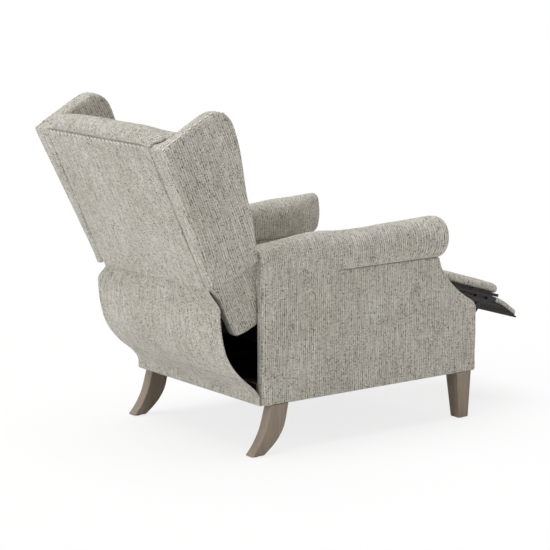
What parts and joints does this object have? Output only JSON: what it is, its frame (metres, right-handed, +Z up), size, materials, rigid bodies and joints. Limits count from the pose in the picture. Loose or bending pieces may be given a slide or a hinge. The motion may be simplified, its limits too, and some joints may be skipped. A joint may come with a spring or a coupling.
{
  "type": "wingback recliner",
  "caption": "Upholstered wing chair with rolled arms and wooden legs, leaned back, with a fold-out footrest, a loose tail panel behind and a coupled reclining mechanism.",
  "frame": {"origin": "middle of the chair's footprint box at floor level, leaned back with the footrest open", "axes": "-Y is the way the chair faces, +X is across the seat, +Z is up"},
  "size_m": [0.704, 1.4126, 0.9966],
  "materials": {
    "upholstery": "heathered tweed weave",
    "black_cloth": "matt",
    "black_board": "cloth covered",
    "leg_wood": "washed grey taupe",
    "frame_wood": "raw",
    "black_steel": "satin black",
    "bright_steel": "zinc",
    "black_plastic": "matt"
  },
  "bodies": {
    "base": {"side_frame_left": "frame_wood", "side_frame_right": "frame_wood", "side_panel_left": "upholstery", "side_panel_right": "upholstery", "arm_roll_left": "upholstery", "arm_roll_right": "upholstery", "arm_inner_pads": "upholstery", "side_linings": "black_cloth", "front_leg_left": "leg_wood", "front_leg_right": "leg_wood", "rear_leg_left": "leg_wood", "rear_leg_right": "leg_wood", "leg_glides": "black_plastic", "leg_bolts": "bright_steel", "front_rail": "frame_wood", "rear_rail": "frame_wood", "corner_blocks": "frame_wood", "guide_channels": "black_steel", "link_brackets": "black_steel", "link_pins": "bright_steel", "tail_panel": "upholstery"},
    "seat": {"carriage_plate_left": "black_steel", "carriage_plate_right": "black_steel", "runners": "black_steel", "carriage_tubes": "black_steel", "seat_mounts": "black_steel", "seat_side_rails": "frame_wood", "seat_front_rail": "frame_wood", "seat_rear_rail": "frame_wood", "seat_springs": "bright_steel", "seat_cushion": "upholstery", "back_pivot_pins": "bright_steel", "footrest_pins": "bright_steel", "rod_pins": "bright_steel"},
    "back": {"back_side_rails": "frame_wood", "back_top_rail": "frame_wood", "back_bottom_rail": "frame_wood", "back_springs": "bright_steel", "back_cushion": "upholstery", "outer_back_panel": "upholstery", "wing_left": "upholstery", "wing_right": "upholstery", "fin_left": "upholstery", "fin_right": "upholstery", "back_top_pad": "upholstery", "back_brackets": "black_steel", "bracket_bolts": "bright_steel"},
    "drive_link": {"drive_links": "black_steel"},
    "footrest": {"footrest_board": "frame_wood", "footrest_pad": "upholstery", "footrest_arms": "black_steel", "footrest_tube": "black_steel", "slide_plates": "black_steel"},
    "lip": {"lip_board": "black_board", "lip_pad": "upholstery", "lip_rails": "black_steel", "lip_bar": "black_steel"},
    "push_rod": {"push_rods": "black_steel"}
  },
  "joints": [
    {"name": "back_recline", "type": "hinge", "parent": "seat", "child": "back", "pos_m": [0, 0.31079, 0.4], "axis": [1, 0, 0], "range_deg": [0, 14], "deforming": ["tail_panel"]},
    {"name": "seat_slide", "type": "slide", "parent": "base", "child": "seat", "axis": [0, 1, 0], "range_m": [0, 0.0391]},
    {"name": "drive_link_pivot", "type": "hinge", "parent": "base", "child": "drive_link", "pos_m": [0, 0.30449, 0.19306], "axis": [1, 0, 0], "range_deg": [-32.07, 0]},
    {"name": "footrest_fold", "type": "hinge", "parent": "seat", "child": "footrest", "pos_m": [0, -0.41865, 0.37285], "axis": [1, 0, 0], "range_deg": [0, 73]},
    {"name": "lip_slide", "type": "slide", "parent": "footrest", "child": "lip", "axis": [0, 0.9563, 0.2924], "range_m": [0, 0.1001]},
    {"name": "push_rod_pivot", "type": "hinge", "parent": "seat", "child": "push_rod", "pos_m": [0, -0.42451, 0.23258], "axis": [1, 0, 0], "range_deg": [-52.63, 0]}
  ],
  "couplings": [
    {"joint": "seat_slide", "follows": "back_recline", "m_per_rad": 0.15961},
    {"joint": "drive_link_pivot", "follows": "back_recline", "ratio": -2.2839},
    {"joint": "lip_slide", "follows": "footrest_fold", "m_per_rad": 0.078487},
    {"joint": "push_rod_pivot", "follows": "footrest_fold", "ratio": -0.71957}
  ]
}
